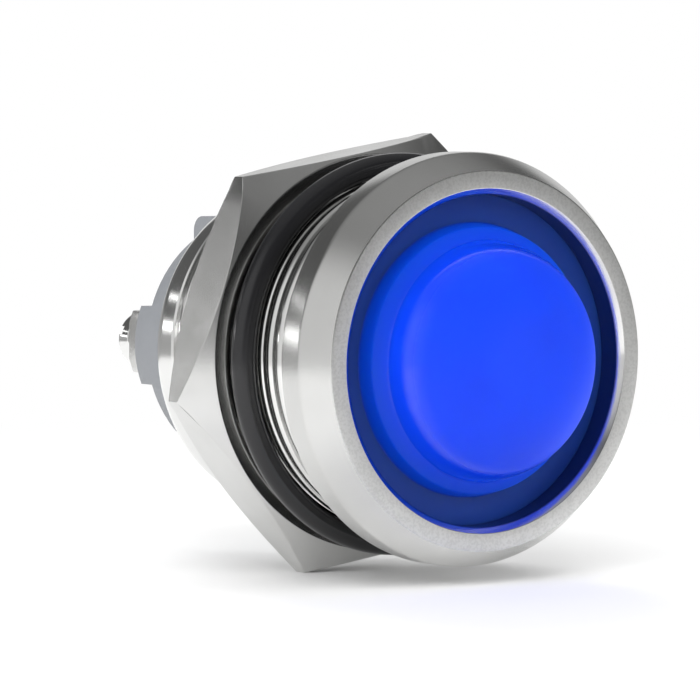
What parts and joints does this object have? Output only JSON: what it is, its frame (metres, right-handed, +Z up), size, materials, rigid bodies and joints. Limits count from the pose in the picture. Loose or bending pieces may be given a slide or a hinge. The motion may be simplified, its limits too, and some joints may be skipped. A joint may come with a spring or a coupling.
{
  "type": "panel pilot light",
  "caption": "Round metal panel pilot light with a domed blue lens, a threaded barrel with sealing ring and hex nut, and screw terminals behind.",
  "frame": {"origin": "centre of the barrel in the plane of the ring's rear seat, which lies on the front of the panel", "axes": "+Y along the barrel to the rear, where the wires go; the lens faces -Y; +Z up; +X to the side of the terminal marked with a plus"},
  "size_m": [0.0282, 0.0376, 0.027],
  "materials": {
    "nickel_polished": "polished nickel plate on brass",
    "nickel_satin": "satin nickel plate on brass",
    "terminal_nickel": "brushed nickel plate on brass",
    "screw_nickel": "bright nickel plate on steel",
    "lens_blue": "glossy moulded translucent blue plastic",
    "rubber_black": "smooth black rubber",
    "plastic_white": "white moulded plastic",
    "board_green": "glass fibre board with green mask",
    "led_clear": "water clear epoxy",
    "resistor_tan": "tan lacquer",
    "component_black": "black moulded epoxy",
    "capacitor_blue": "dark blue sleeve",
    "sleeve_ivory": "ivory moulded plastic",
    "lead_red": "red insulation",
    "lead_black": "black insulation",
    "plastic_grey": "fine matt moulded grey plastic"
  },
  "bodies": {
    "root": {"body_shell": "nickel_polished", "lens": "lens_blue", "lens_gasket": "rubber_black", "reflector": "plastic_white", "led_board": "board_green", "led_1": "led_clear", "led_2": "led_clear", "led_3": "led_clear", "led_4": "led_clear", "resistor_1": "resistor_tan", "resistor_2": "resistor_tan", "rectifier": "component_black", "capacitor": "capacitor_blue", "board_sleeve": "sleeve_ivory", "lead_pos": "lead_red", "lead_neg": "lead_black", "rear_insulator": "plastic_grey", "terminal_block_pos": "terminal_nickel", "terminal_block_neg": "terminal_nickel"},
    "seal": {"o_ring": "rubber_black"},
    "nut": {"hex_nut": "nickel_satin"},
    "washer_pos": {"screw_washer_pos": "screw_nickel"},
    "screw_pos": {"terminal_screw_pos": "screw_nickel"},
    "washer_neg": {"screw_washer_neg": "screw_nickel"},
    "screw_neg": {"terminal_screw_neg": "screw_nickel"}
  },
  "joints": [
    {"name": "nut_travel", "type": "slide", "parent": "root", "child": "seal", "axis": [0, 1, 0], "range_m": [-0.0035, 0.0038]},
    {"name": "nut_spin", "type": "hinge", "parent": "seal", "child": "nut", "pos_m": [0, 0.0088, 0], "axis": [0, 1, 0], "range_deg": [-1261, 1369]},
    {"name": "screw_pos_travel", "type": "slide", "parent": "root", "child": "washer_pos", "axis": [0, 1, 0], "range_m": [0, 0.0025]},
    {"name": "screw_pos_spin", "type": "hinge", "parent": "washer_pos", "child": "screw_pos", "pos_m": [0.00385, 0.0276, 0], "axis": [0, 1, 0], "range_deg": [-1, 2001]},
    {"name": "screw_neg_travel", "type": "slide", "parent": "root", "child": "washer_neg", "axis": [0, 1, 0], "range_m": [0, 0.0025]},
    {"name": "screw_neg_spin", "type": "hinge", "parent": "washer_neg", "child": "screw_neg", "pos_m": [-0.00385, 0.0276, 0], "axis": [0, 1, 0], "range_deg": [-1, 2001]}
  ],
  "couplings": [
    {"joint": "nut_spin", "follows": "nut_travel", "rad_per_m": 6283.2},
    {"joint": "screw_pos_spin", "follows": "screw_pos_travel", "rad_per_m": 13963},
    {"joint": "screw_neg_spin", "follows": "screw_neg_travel", "rad_per_m": 13963}
  ]
}
